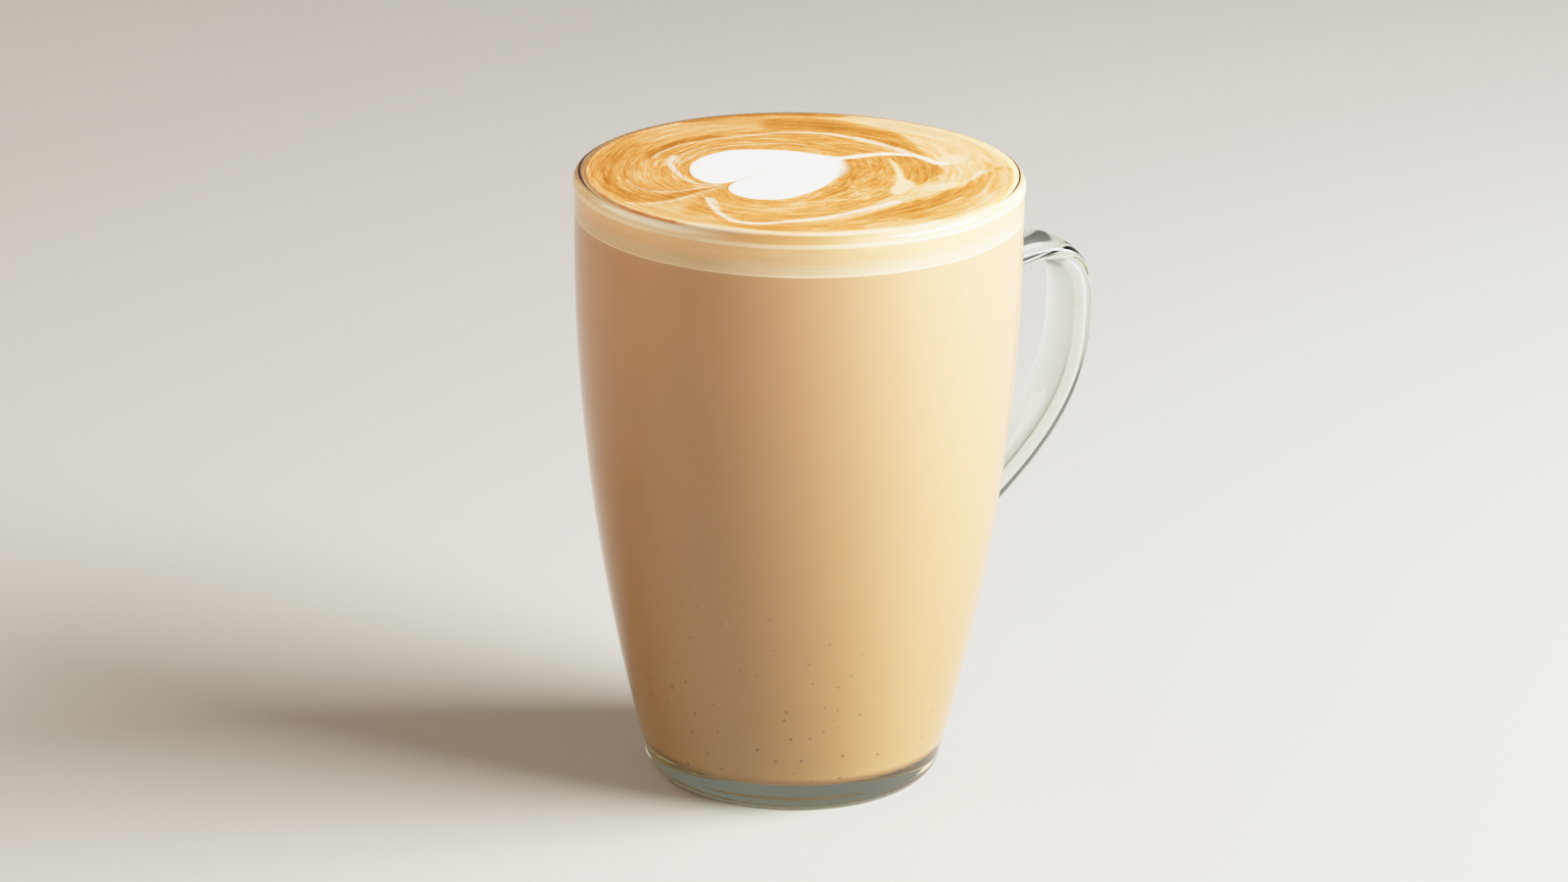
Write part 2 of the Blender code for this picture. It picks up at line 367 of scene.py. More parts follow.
# %% Loft the handle
def loft_handle():
    """Vertices and faces of the strap, with both ends closed."""
    steps = np.linspace(0.0, 1.0, PATH_STEPS + 1)
    upper, upper_along = bezier(HANDLE_PATH[0], steps)
    lower, lower_along = bezier(HANDLE_PATH[1], steps[1:])
    path = np.vstack([upper, lower])
    along = np.vstack([upper_along, lower_along])
    outwards = np.stack([-along[:, 1], along[:, 0]], axis=1)
    across, through = strap_section()
    vertices = []
    for place, out in zip(path, outwards):
        x = place[0] + through * out[0]
        z = place[1] + through * out[1]
        vertices += list(zip(x, across, z))
    faces = []
    for i in range(len(path) - 1):
        for j in range(STRAP_SIDES):
            k = (j + 1) % STRAP_SIDES
            low, high = i * STRAP_SIDES, (i + 1) * STRAP_SIDES
            faces.append((low + j, low + k, high + k, high + j))
    faces.append(tuple(range(STRAP_SIDES))[::-1])
    end = (len(path) - 1) * STRAP_SIDES
    faces.append(tuple(range(end, end + STRAP_SIDES)))
    return vertices, faces


handle = new_piece("handle", *loft_handle())
print("handle reaches", round(max(v.co.x for v in handle.data.vertices) / MM, 1), "mm")

# %% [markdown]
# ## Joining handle and body
#
# Mug and handle are one piece of glass. Two overlapping skins would show as a ghost inside the
# wall, so the strap is first trimmed at the middle of the wall and then joined with a Boolean
# union. The sharp line where they meet is then eased like a small fillet: points near it move
# towards the mean of their neighbours, less the further away they are.

# %% Cutting and joining
CORE_STEPS = 60


def cut(piece, operation, other):
    """Apply a Boolean to a piece and remove the other object."""
    modifier = piece.modifiers.new(operation, "BOOLEAN")
    modifier.operation = operation
    modifier.solver = "EXACT"
    modifier.object = other
    graph = bpy.context.evaluated_depsgraph_get()
    mesh = bpy.data.meshes.new_from_object(piece.evaluated_get(graph))
    piece.modifiers.clear()
    piece.data = mesh
    bpy.data.objects.remove(other, do_unlink=True)


def wall_core():
    """A solid out to the middle of the wall."""
    heights = np.linspace(RIM_HEIGHT, FLOOR, CORE_STEPS)
    profile = [(0.0, RIM_HEIGHT)]
    profile += [(outer_radius(z) - WALL / 2, z) for z in heights]
    profile.append((0.0, FLOOR))
    return new_piece("wall_core", *turned(profile, EVEN_ANGLES))


cut(handle, "DIFFERENCE", wall_core())
cut(mug, "UNION", handle)
print("joined:", len(mug.data.polygons), "faces")

# %% Find the crease where they meet
CREASE = math.radians(18.0)
CLOSE_TO_WALL = WALL / 4


def creased_points(mesh, places):
    """The points along the sharp line between wall and handle."""
    facing = {}
    for face in mesh.polygons:
        for key in face.edge_keys:
            facing.setdefault(key, []).append(face.normal.copy())
    crease = set()
    for (a, b), normals in facing.items():
        x, y, z = places[a]
        at_root = x > ROOT_R and abs(y) < STRAP_WIDTH
        at_wall = abs(math.hypot(x, y) - outer_radius(z)) < CLOSE_TO_WALL
        if at_root and at_wall and len(normals) == 2 and normals[0].angle(normals[1]) > CREASE:
            crease.update((a, b))
    return crease


print("the crease turns more than", round(math.degrees(CREASE)), "degrees")

# %% Ease the joint
FILLET_REACH = 3.0 * MM
FILLET_PASSES = 40


def ease_joint(mesh):
    """Smooth the crease, fading out over FILLET_REACH."""
    count = len(mesh.vertices)
    places = np.empty(count * 3)
    mesh.vertices.foreach_get("co", places)
    places = places.reshape(-1, 3)
    ends = np.empty(len(mesh.edges) * 2, int)
    mesh.edges.foreach_get("vertices", ends)
    ends = ends.reshape(-1, 2)
    crease = creased_points(mesh, places)
    tree = kdtree.KDTree(len(crease))
    for index in crease:
        tree.insert(Vector(places[index]), index)
    tree.balance()
    reach = np.array([tree.find(Vector(p))[2] for p in places])
    weight = np.clip(1 - reach / FILLET_REACH, 0.0, 1.0)[:, None]
    degree = np.bincount(ends.ravel(), minlength=count)[:, None]
    for _ in range(FILLET_PASSES):
        total = np.zeros_like(places)
        np.add.at(total, ends[:, 0], places[ends[:, 1]])
        np.add.at(total, ends[:, 1], places[ends[:, 0]])
        places += weight * (total / degree - places) / 2
    mesh.vertices.foreach_set("co", places.ravel())
    mesh.update()
    return len(crease)


eased = ease_joint(mug.data)
mug.data.shade_smooth()
mug.data.materials.clear()
mug.data.materials.append(glass_material)
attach(mug, "root")
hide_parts("glass_mug")
print("mug:", len(mug.data.polygons), "faces,", eased, "points along the joint")

# %% [markdown]
# ## The coffee
#
# Behind the glass is an opaque, milky liquid. Seen through a curved wall it fills the mug right
# to its outline, because the glass magnifies it. For that the liquid has to touch the glass, so
# its skin lies just inside the wall, where no film of air can show. Milky coffee is even in
# colour, with faint clouds where milk and coffee are still turning. Its paint is made a little
# darker towards the floor, which is painted shade for the light that falls off lower down, and
# small bubbles cling to the glass down there. Real ones are about half as wide as drawn, and a
# render would lose them. The liquid meets the glass without a shine of its own, so its specular
# level is 0.

# %% Layers of paint and dots
BUBBLES = {"spacing": 3.0 * MM, "radius": 0.42 * MM, "core": 0.8, "strength": 1.0, "share": 0.85}

# a Mix node has a set of sockets for each kind of data, and these are the ones for colours
MIX_COVER = 0
MIX_BELOW = 6
MIX_ABOVE = 7
MIX_RESULT = 2


def painted_over(material, colour, *layers):
    """Lay paints over a colour, one after another, each as far as its cover says."""
    for cover, paint in layers:
        over = paint if isinstance(paint, bpy.types.NodeSocket) else linear(paint)
        mixed = {MIX_COVER: cover, MIX_BELOW: colour, MIX_ABOVE: over}
        colour = add(material, "Mix", mixed, output=MIX_RESULT, data_type="RGBA")
    return colour


def dots(material, place, spacing, radius, core, strength, share):
    """Small round dots, one in some of the cells of a Voronoi pattern."""
    cells = {"Vector": place, "Scale": 1 / spacing}
    distance = add(material, "TexVoronoi", cells, output="Distance")
    near = add(material, "MapRange", {
        "Value": distance,
        "From Min": core * radius / spacing,
        "From Max": radius / spacing,
        "To Min": strength,
        "To Max": 0.0,
    })
    chance = add(material, "SeparateColor", {"Color": distance.node.outputs["Color"]})
    rare = add(material, "Math", {0: chance, 1: share}, operation="LESS_THAN")
    return add(material, "Math", {0: near, 1: rare}, operation="MULTIPLY")


print("bubbles", round(2 * BUBBLES["radius"] / MM, 2), "mm across")

# %% The coffee's material
COFFEE_BROWN = "#c49268"
COFFEE_CLOUD = "#ca9970"
# painted shade: the colour the coffee is painted down at the floor
COFFEE_PAINTED_SHADE = "#b08555"
BUBBLE_BROWN = "#86603c"
PAINTED_SHADE_FROM = 105.0 * MM
CLOUD_SIZE = 26.0 * MM
BUBBLES_UP_TO = 62.0 * MM
WATER_IOR = 1.33
COFFEE_ROUGHNESS = 0.45


def milky_coffee():
    """An opaque brown liquid with faint clouds, painted shade towards the floor and, low down, small
    dark bubbles.
    """
    material = new_material("milky coffee, steamed milk and espresso")
    place = add(material, "TexCoord", output="Object")
    cloud = add(material, "TexNoise", {"Vector": place, "Scale": 1 / CLOUD_SIZE, "Detail": 3.0})
    height = add(material, "SeparateXYZ", {"Vector": place}, output="Z")
    # painted shade: the coffee darkens from this height down to the floor
    depth = {"Value": height, "From Min": PAINTED_SHADE_FROM, "From Max": FLOOR}
    depth = add(material, "MapRange", depth)
    low = {"Value": height, "From Min": BUBBLES_UP_TO, "From Max": FLOOR}
    low = add(material, "MapRange", low)
    bubble = dots(material, place, **BUBBLES)
    bubble = add(material, "Math", {0: bubble, 1: low}, operation="MULTIPLY")
    colour = painted_over(
        material, linear(COFFEE_BROWN),
        (cloud, COFFEE_CLOUD), (depth, COFFEE_PAINTED_SHADE), (bubble, BUBBLE_BROWN),
    )
    liquid = add(material, "BsdfPrincipled", {
        "Base Color": colour,
        "Roughness": COFFEE_ROUGHNESS,
        "IOR": WATER_IOR,
        "Specular IOR Level": 0.0,
    })
    add(material, "OutputMaterial", {"Surface": liquid})
    return material


coffee_material = milky_coffee()
print("coffee's index", WATER_IOR)

# %% [markdown]
# ## Shaping the coffee
#
# The coffee follows the inside of the glass, a hair's breadth into it. Its top has a small step
# that tucks up inside the foam, so that the two meet without a crack. A second ring close under
# the top keeps that edge crisp: smooth shading would otherwise bend the light over the whole gap
# to the next ring and show it as a pale band.

# %% Turn the coffee
INTO_GLASS = 0.15 * MM
TUCK = 0.4 * MM
FOAM_BOTTOM = COFFEE_LEVEL - 0.4 * MM
CRISP = 0.05 * MM
DRINK_STEPS = 50


def drink_profile():
    """The coffee's section: step, top edge, wall and floor."""
    corner_z = FLOOR + CORNER_ROUND
    corner_r = inner_radius(corner_z) - CORNER_ROUND
    corner = CORNER_ROUND + INTO_GLASS
    top_r = inner_radius(FOAM_BOTTOM) + INTO_GLASS
    profile = [(0.0, FOAM_BOTTOM + TUCK)]
    profile += [(top_r - TUCK, FOAM_BOTTOM + TUCK), (top_r - TUCK, FOAM_BOTTOM)]
    heights = np.linspace(FOAM_BOTTOM - CRISP, corner_z, DRINK_STEPS)
    profile += [(inner_radius(z) + INTO_GLASS, z) for z in (FOAM_BOTTOM, *heights)]
    profile += arc(corner_r, corner_z, corner, corner, 0, -90, HEEL_STEPS)[1:]
    profile.append((0.0, FLOOR - INTO_GLASS))
    return profile


coffee = new_piece("coffee_drink", *turned(drink_profile(), EVEN_ANGLES))
coffee.data.materials.append(coffee_material)
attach(coffee, "root")
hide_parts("coffee")
print("coffee:", len(coffee.data.polygons), "faces")

# %% [markdown]
# ## The pour, drawn as curves
#
# The barista tilts the cup and pours: the first milk sinks and pushes the crema into arcs round
# the middle, and the last milk stays on top as the heart. So the surface is a drawing, made of a
# heart, a few thin lines and some broad paler or darker patches. Painting it as a picture would
# tie it to one image size. Here each shape is a short list of points on the foam, joined by a
# smooth curve, and every point of the foam's mesh learns how far it lies from each.

# %% The shapes of the pour, in millimetres from the mug's axis
HEART = [
    # x, y and whether the outline has a corner there
    (10.8, 2.6, True), (8.8, 6.2, False), (4.0, 12.4, False), (-4.2, 17.4, False),
    (-9.4, 17.3, False), (-14.2, 15.3, False), (-18.2, 11.4, False), (-20.8, 5.6, False),
    (-20.6, 0.4, False), (-18.2, -1.8, False), (-12.2, -1.0, True), (-16.6, -2.7, False),
    (-19.4, -6.6, False), (-18.9, -11.8, False), (-16.2, -15.0, False), (-12.3, -16.4, False),
    (-7.8, -15.5, False), (-2.0, -12.9, False), (4.0, -8.2, False), (8.2, -3.4, False),
]
MILK_LINES = {
    # name: width in millimetres at both ends, strength, points
    "tail": (2.2, 1.3, 1.7, [
        (9.6, 3.0), (13.2, 2.5), (16.7, 2.3), (20.5, 1.5), (23.6, -0.6), (25.5, -2.6),
    ]),
    "tail end": (1.3, 2.0, 1.6, [(25.2, -2.2), (25.9, -5.0), (26.2, -8.0), (27.4, -9.4)]),
    "upper arc": (0.5, 1.8, 0.75, [
        (-6.2, 26.6), (-1.2, 26.2), (4.4, 25.4), (10.3, 24.6), (14.0, 22.6), (17.7, 19.3),
        (19.8, 16.2), (21.7, 12.7), (23.2, 8.5), (24.1, 4.0), (25.2, -2.4),
    ]),
    "outer left arc": (0.9, 0.4, 0.5, [(-21.2, 20.6), (-18.0, 23.4), (-12.5, 26.0), (-6.2, 26.7)]),
    "inner arc": (0.5, 0.4, 0.6, [
        (-18.5, 14.4), (-14.6, 17.5), (-10.4, 19.8), (-3.1, 20.4), (2.1, 18.9), (6.5, 17.1),
        (9.4, 14.2),
    ]),
    "short arc": (0.7, 0.3, 0.5, [(-19.0, 15.4), (-16.2, 18.9), (-13.2, 21.2), (-8.4, 23.1)]),
    "left fleck": (1.5, 1.1, 0.75, [(-17.5, 19.4), (-19.2, 17.4), (-20.6, 15.3), (-21.7, 11.3)]),
    "left thread": (1.1, 0.5, 0.7, [
        (-21.6, 11.8), (-22.7, 7.5), (-23.0, 3.5), (-22.4, 0.1), (-19.1, -2.8),
    ]),
    "lower left thread": (0.3, 0.7, 0.6, [
        (-33.3, 9.4), (-34.0, 6.1), (-33.6, 2.9), (-32.1, -0.1), (-29.6, -1.7), (-26.5, -2.3),
        (-23.0, -2.2), (-20.1, -2.6),
    ]),
    "wedge edge": (0.7, 0.5, 0.5, [
        (-40.0, -3.9), (-37.5, -6.3), (-34.7, -6.8), (-31.4, -6.9), (-27.4, -5.9), (-24.5, -5.0),
        (-21.3, -4.2), (-19.1, -4.0),
    ]),
    "front arc": (1.0, 1.4, 0.95, [
        (-25.6, -8.9), (-26.7, -12.5), (-27.6, -15.8), (-28.1, -18.9), (-28.1, -22.6), (-27.0, -25.6),
        (-24.2, -27.7), (-19.5, -29.0), (-14.6, -30.0), (-7.5, -30.0), (0.6, -28.8), (6.0, -27.6),
    ]),
    "front start": (1.6, 0.9, 0.6, [(-25.0, -9.6), (-26.1, -12.8), (-27.0, -15.8)]),
    "cleft": (0.1, 0.4, -0.55, [(-4.4, 1.1), (-8.7, 0.3), (-12.7, -1.2)]),
    "right thread": (0.9, 0.7, 0.5, [(26.6, -21.0), (31.0, -17.6), (33.6, -17.3)]),
}
print("lines in the pour:", len(MILK_LINES))

# %% [markdown]
# ## Patches of paler and darker crema
#
# Each patch is a closed outline with a soft edge. Pale patches are where sunken milk shows
# through, tan ones are thin crema, and dark ones are where the crema was pushed together, except
# the one along the back rim, which only makes the foam darker there.

# %% Pale patches, in millimetres from the mug's axis
PALE_PATCHES = {
    # name: soft edge in millimetres, strength, outline
    "right field": (0.7, 1.0, [
        (22.5, 35.0), (26.6, 25.0), (28.9, 19.3), (30.4, 13.3), (29.4, 5.7), (27.9, 0.0),
        (26.9, -5.1), (25.9, -9.9), (24.5, -13.8), (21.3, -16.4), (17.3, -18.9), (13.5, -21.0),
        (9.0, -22.7), (7.6, -27.3), (13.4, -27.0), (20.8, -23.6), (26.7, -21.6), (30.9, -18.3),
        (33.7, -17.2), (36.7, -15.8), (38.4, -17.8), (41.6, -11.0), (43.0, -2.0), (42.0, 8.0),
        (38.4, 18.4), (33.0, 28.0),
    ]),
    "front band": (0.6, 1.1, [
        (17.4, -20.4), (14.1, -19.9), (9.3, -22.2), (3.9, -25.4), (-1.7, -27.8), (-7.3, -29.5),
        (-12.5, -29.7), (-18.6, -28.3), (-19.3, -29.6), (-13.6, -31.7), (-9.0, -32.5), (-4.3, -32.2),
        (0.6, -30.9), (7.1, -28.8), (13.4, -27.1), (17.0, -25.2),
    ]),
    "wedge": (0.6, 1.7, [
        (19.3, -1.6), (17.2, -6.9), (14.9, -11.9), (12.0, -16.4), (7.9, -21.5), (8.2, -24.0),
        (10.9, -23.0), (14.3, -20.0), (15.3, -17.5), (15.1, -15.0), (17.5, -9.6), (19.0, -5.4),
    ]),
    "right rim": (0.9, 0.8, [
        (33.4, -17.7), (37.8, -18.8), (34.3, -25.5), (28.6, -32.8), (21.8, -36.4), (13.2, -39.0),
        (5.4, -40.4), (-1.7, -40.5), (-8.0, -39.5), (-5.9, -37.2), (-0.1, -37.9), (4.9, -38.2),
        (11.6, -35.8), (17.3, -33.5), (23.3, -29.4), (28.0, -24.1),
    ]),
    "milk in the field": (1.2, 1.6, [
        (27.2, -5.9), (30.6, -3.9), (33.3, -5.4), (33.2, -9.1), (29.9, -11.0), (26.8, -10.1),
    ]),
    "milk below the field": (1.0, 1.5, [
        (15.4, -20.7), (19.8, -20.5), (23.6, -21.3), (26.9, -20.5), (22.2, -24.2), (17.0, -25.1),
        (13.8, -24.6),
    ]),
    "under heart": (1.2, 0.5, [
        (-24.0, -11.0), (-22.7, -12.9), (-19.7, -16.7), (-15.9, -19.3), (-10.2, -19.3), (-12.8, -23.8),
        (-17.8, -22.6), (-22.6, -19.0), (-25.2, -16.2),
    ]),
    "front rim": (1.2, 0.95, [
        (-38.5, -22.2), (-28.6, -34.1), (-15.2, -41.8), (0.0, -44.5), (8.0, -43.5), (6.0, -39.0),
        (0.0, -40.0), (-13.9, -38.1), (-26.0, -31.0), (-35.5, -20.5),
    ]),
    "front rim at the right": (1.2, 0.3, [
        (0.0, -44.5), (15.2, -41.8), (28.6, -34.1), (38.5, -22.2), (43.0, -11.5), (39.1, -10.5),
        (34.2, -19.8), (26.5, -26.5), (19.0, -32.9), (10.1, -37.7), (0.0, -40.0),
    ]),
}
print("pale patches:", len(PALE_PATCHES))

# %% Tan patches, in millimetres from the mug's axis
TAN_PATCHES = {
    "top left": (2.5, 0.65, [
        (-13.8, 38.0), (-7.8, 39.8), (-0.7, 39.7), (5.7, 38.1), (10.7, 35.5), (8.7, 31.6),
        (4.9, 30.5), (0.3, 31.8), (-4.6, 32.6), (-9.9, 32.8), (-14.3, 31.8), (-18.1, 32.5),
    ]),
    "left wedge": (1.0, 0.8, [
        (-42.2, 1.4), (-40.1, -4.1), (-37.6, -6.5), (-32.9, -6.6), (-27.4, -5.9), (-21.3, -4.2),
        (-24.5, -6.2), (-28.3, -8.7), (-32.4, -11.9), (-34.2, -15.0), (-32.9, -17.3), (-31.0, -17.4),
        (-30.3, -20.5), (-30.1, -26.3), (-27.9, -31.5), (-29.7, -31.7), (-33.4, -26.0),
        (-36.3, -19.1), (-39.2, -11.9), (-40.7, -5.2),
    ]),
    "back field": (2.0, 1.2, [
        (30.9, 24.7), (33.7, 20.7), (36.7, 16.5), (38.8, 10.9), (39.8, 6.5), (36.8, 7.4),
        (34.0, 12.0), (31.3, 16.7), (29.1, 21.7),
    ]),
    "left blotch": (0.9, 0.5, [
        (-29.4, 15.9), (-27.6, 17.7), (-27.3, 16.7), (-29.4, 12.2), (-32.3, 7.7), (-32.7, 9.1),
        (-31.4, 12.6),
    ]),
}
print("tan patches:", len(TAN_PATCHES))

# %% Dark patches, in millimetres from the mug's axis
DARK_PATCHES = {
    "left": (2.5, 0.7, [
        (-38.7, 12.2), (-31.8, 24.5), (-27.1, 28.3), (-21.1, 31.6), (-17.0, 29.4), (-21.8, 23.1),
        (-27.4, 21.0), (-32.3, 13.7), (-35.8, 5.9), (-39.2, 5.2),
    ]),
    "above left": (1.2, 1.6, [
        (-22.8, 21.1), (-18.3, 24.4), (-12.8, 26.6), (-7.5, 27.3), (-1.0, 27.2), (-3.3, 29.2),
        (-8.0, 29.8), (-13.7, 29.0), (-20.2, 26.0),
    ]),
    "top": (1.6, 0.95, [
        (8.6, 31.0), (12.0, 35.1), (19.7, 32.7), (22.8, 28.3), (25.5, 23.6), (28.3, 18.3),
        (29.9, 12.3), (28.9, 5.2), (27.3, -2.2), (25.7, -0.7), (24.6, 3.6), (23.3, 9.9),
        (21.2, 16.1), (18.4, 20.8), (12.0, 25.6), (9.0, 27.2),
    ]),
    "inside arc": (1.6, 0.35, [
        (9.8, 21.4), (13.7, 18.7), (17.3, 15.6), (20.3, 11.5), (22.7, 6.4), (23.5, 1.6),
        (19.1, 3.3), (13.8, 4.3), (11.6, 6.9), (8.9, 11.4), (7.2, 16.9),
    ]),
    "right": (1.0, 0.65, [
        (32.8, -18.1), (27.7, -24.5), (23.0, -27.5), (17.0, -29.8), (8.4, -34.2), (2.0, -34.4),
        (-4.6, -33.8), (-7.0, -33.2), (-0.1, -32.1), (6.2, -30.3), (12.3, -28.8), (20.3, -24.9),
        (26.3, -22.8),
    ]),
    "lower left": (1.0, 1.1, [
        (-39.9, 0.8), (-39.2, -3.1), (-35.7, -5.5), (-30.5, -5.8), (-25.5, -4.3), (-20.7, -3.1),
        (-24.7, -2.9), (-29.2, -3.0), (-33.7, -1.0), (-36.2, 3.0), (-37.9, 5.8),
    ]),
    # the foam is darker along the back rim
    "back rim": (1.0, 2.2, [
        (-4.7, 44.8), (7.8, 44.3), (19.0, 40.8), (28.9, 34.5), (26.8, 29.7), (18.9, 35.6),
        (8.4, 39.4), (-2.8, 40.2),
    ]),
    "small streak": (0.5, 0.9, [
        (18.4, -18.8), (20.1, -17.6), (21.3, -17.5), (20.5, -18.5), (19.0, -19.2),
    ]),
    "right blotch": (1.2, 0.6, [
        (31.3, -14.9), (33.7, -12.4), (35.7, -12.2), (35.9, -14.2), (33.6, -17.3), (31.8, -17.2),
    ]),
    "beside heart": (1.6, 0.4, [
        (11.0, 0.6), (16.8, 0.7), (18.9, -1.7), (15.8, -8.7), (12.0, -15.2), (7.9, -16.8),
        (2.8, -16.5), (-2.6, -18.5), (-4.2, -18.9), (3.0, -11.8), (7.4, -6.8),
    ]),
    "under tail": (1.0, 0.6, [
        (20.1, -0.4), (23.1, -1.5), (24.9, -4.5), (24.7, -8.3), (23.9, -13.5), (19.9, -16.3),
        (15.4, -18.6), (16.0, -13.6), (18.7, -6.5),
    ]),
}
print("dark patches:", len(DARK_PATCHES))

# %% [markdown]
# ## From points to smooth curves and distances
#
# A Catmull-Rom curve passes through every point it is given, so the lists above can stay short.
# The distance from a mesh point to a curve is the least of its distances to the curve's short
# straight pieces. Inside a closed outline the distance counts as positive.

# %% Smooth curves
STEPS_BETWEEN = 8


def smooth_curve(points, closed=False, corners=()):
    """Points of a smooth curve through the given ones."""
    points = np.array(points, float)
    count = len(points)
    pieces = []
    for i in range(count if closed else count - 1):
        start, end = points[i], points[(i + 1) % count]
        at_start = i in corners or (not closed and i == 0)
        at_end = (i + 1) % count in corners or (not closed and i == count - 2)
        before = start if at_start else points[i - 1]
        after = end if at_end else points[(i + 2) % count]
        t = np.arange(STEPS_BETWEEN)[:, None] / STEPS_BETWEEN
        bend = 2 * before - 5 * start + 4 * end - after
        twist = 3 * start - before - 3 * end + after
        pieces.append((2 * start + (end - before) * t + bend * t**2 + twist * t**3) / 2)
    curve = np.vstack(pieces)
    return np.vstack([curve, curve[:1] if closed else points[-1:]])


print("a curve has", STEPS_BETWEEN, "steps between two points")


# %% Distances and fades
def distance_to(curve, places):
    """Distance from each place to a curve, and where along the curve that is, from 0 to 1."""
    nearest = np.full(len(places), np.inf)
    share = np.zeros(len(places))
    last = len(curve) - 1
    for i in range(last):
        a, b = curve[i], curve[i + 1]
        side = b - a
        t = np.clip((places - a) @ side / (side @ side), 0.0, 1.0)
        gap = np.linalg.norm(places - a - t[:, None] * side, axis=1)
        closer = gap < nearest
        nearest[closer] = gap[closer]
        share[closer] = (i + t[closer]) / last
    return nearest, share


def inside(curve, places):
    """Whether each place lies inside a closed curve: a ray to the right crosses it an odd time."""
    odd = np.zeros(len(places), bool)
    x, y = places.T
    for (ax, ay), (bx, by) in zip(curve[:-1], curve[1:]):
        spans = (ay > y) != (by > y)
        crossing = ax + (y - ay) / (by - ay if by != ay else np.inf) * (bx - ax)
        odd ^= spans & (x < crossing)
    return odd


def depth_inside(outline, places, corners=()):
    """Distance to a closed outline, positive inside it."""
    curve = smooth_curve(outline, closed=True, corners=corners)
    gap, _ = distance_to(curve, places)
    return np.where(inside(curve, places), gap, -gap)


def fade(value, low, high):
    """0 below low, 1 above high, and a smooth step between."""
    t = np.clip((value - low) / (high - low), 0.0, 1.0)
    return t * t * (3 - 2 * t)


print("halfway through a fade:", fade(0.5, 0.0, 1.0))

# %% [markdown]
# ## The foam's surface
#
# The foam fills the mug's mouth from the coffee up to a low crown just above the rim. Its top is
# a fine net of rings, fine enough that the drawing's thin lines stay crisp. The heart is foam as
# well and lies level with the rest, so it is drawn on this surface like the lines. The side shows
# through the glass, and it takes a material of its own.

# %% Turn the foam
FOAM_REACH = inner_radius(RIM_HEIGHT) + INTO_GLASS
EDGE_ROUND = 0.6 * MM
EDGE_STEPS = 8
CROWN = 0.5 * MM
TOP_RINGS = 132
FOAM_SIDES = 560
SIDE_RINGS = 24


def crown_height(r):
    """The foam's top, highest on the axis."""
    return CROWN_HEIGHT - CROWN * (r / FOAM_REACH) ** 2


def foam_profile():
    """The foam's section: top, rounded edge, side and a flat underside."""
    edge_r = FOAM_REACH - EDGE_ROUND
    edge_z = crown_height(edge_r) - EDGE_ROUND
    profile = [(r, crown_height(r)) for r in np.linspace(0.0, edge_r, TOP_RINGS)]
    profile += arc(edge_r, edge_z, EDGE_ROUND, EDGE_ROUND, 90, 0, EDGE_STEPS)[1:]
    profile += [(FOAM_REACH, z) for z in np.linspace(edge_z, FOAM_BOTTOM + CRISP, SIDE_RINGS)[1:]]
    profile.append((FOAM_REACH, FOAM_BOTTOM))
    profile.append((0.0, FOAM_BOTTOM))
    return profile


foam_angles = np.linspace(0.0, math.tau, FOAM_SIDES, endpoint=False)
foam = new_piece("milk_foam_poured", *turned(foam_profile(), foam_angles))
foam_places = np.array([v.co for v in foam.data.vertices]) / MM
print("foam:", len(foam.data.polygons), "faces")

# %% [markdown]
# ## Writing the drawing onto the foam
#
# Each quantity becomes a named attribute of the mesh, which the material reads back. Attributes
# travel with the mesh, need no image, and stay sharp at any size. Two of them say where a point
# lies in the swirl: how far between heart and rim, and how far round. Streaks drawn in those
# two numbers bend round the heart just as the stirred crema does.

# %% How lines and patches cover the foam
LINE_BLUR = 0.35


def drawn_lines(places):
    """How white the lines make each place. Below 0 it says how brown the cleft is there."""
    milk = np.zeros(len(places))
    for start_width, end_width, strength, points in MILK_LINES.values():
        gap, share = distance_to(smooth_curve(points), places)
        half = (start_width + (end_width - start_width) * share) / 2
        line = strength * fade(half + LINE_BLUR - gap, 0.0, 2 * LINE_BLUR)
        milk = np.where(np.abs(line) > np.abs(milk), line, milk)
    return milk


def patched(patches, places):
    """How much the strongest of some patches covers each place."""
    cover = np.zeros(len(places))
    for edge, strength, outline in patches.values():
        depth = depth_inside(outline, places)
        cover = np.maximum(cover, strength * fade(depth, -edge, edge))
    return cover


flat_places = foam_places[:, :2]
milk_lines = drawn_lines(flat_places)
print("points on white lines:", int((milk_lines > LINE_BLUR).sum()))

# %% The heart and its soft side, in millimetres
SOFT_SIDE = (10.0, -5.0)
SOFT_REACH = 14.0
SOFT_FADE = 12.0
CRISP_BLUR = 0.35
SOFT_BLUR = 2.2

heart_corners = [i for i, knot in enumerate(HEART) if knot[2]]
heart_depth = depth_inside([knot[:2] for knot in HEART], flat_places, heart_corners)
near_soft_side = SOFT_REACH - np.linalg.norm(flat_places - SOFT_SIDE, axis=1)
softness = CRISP_BLUR + SOFT_BLUR * fade(near_soft_side, 0.0, SOFT_FADE)
print("heart's widest depth", round(float(heart_depth.max()), 1), "mm")

# %% Places round the rim
FOAM_EDGE = FOAM_REACH / MM
# painted highlight: a pale ring along the foam's edge, fading in between these distances from the
# edge, in millimetres
RIM_HIGHLIGHT_WITHIN = 1.8
RIM_HIGHLIGHT_FULLY = 0.3
RIM_PLACES = {
    # name: its direction in degrees, and how far from it, in degrees, the fade starts and ends
    "back": (70.0, 20.0, 40.0),
    "right": (-45.0, 10.0, 60.0),
    "crema at the wall": (-124.0, 8.0, 30.0),
}

radius = np.linalg.norm(flat_places, axis=1)
azimuth = np.arctan2(flat_places[:, 1], flat_places[:, 0])


def away_from(name):
    """0 at a place on the rim, and 1 well away from it."""
    direction, near, far = RIM_PLACES[name]
    turned_by = (azimuth - math.radians(direction) + math.pi) % math.tau - math.pi
    return fade(np.degrees(np.abs(turned_by)), near, far)


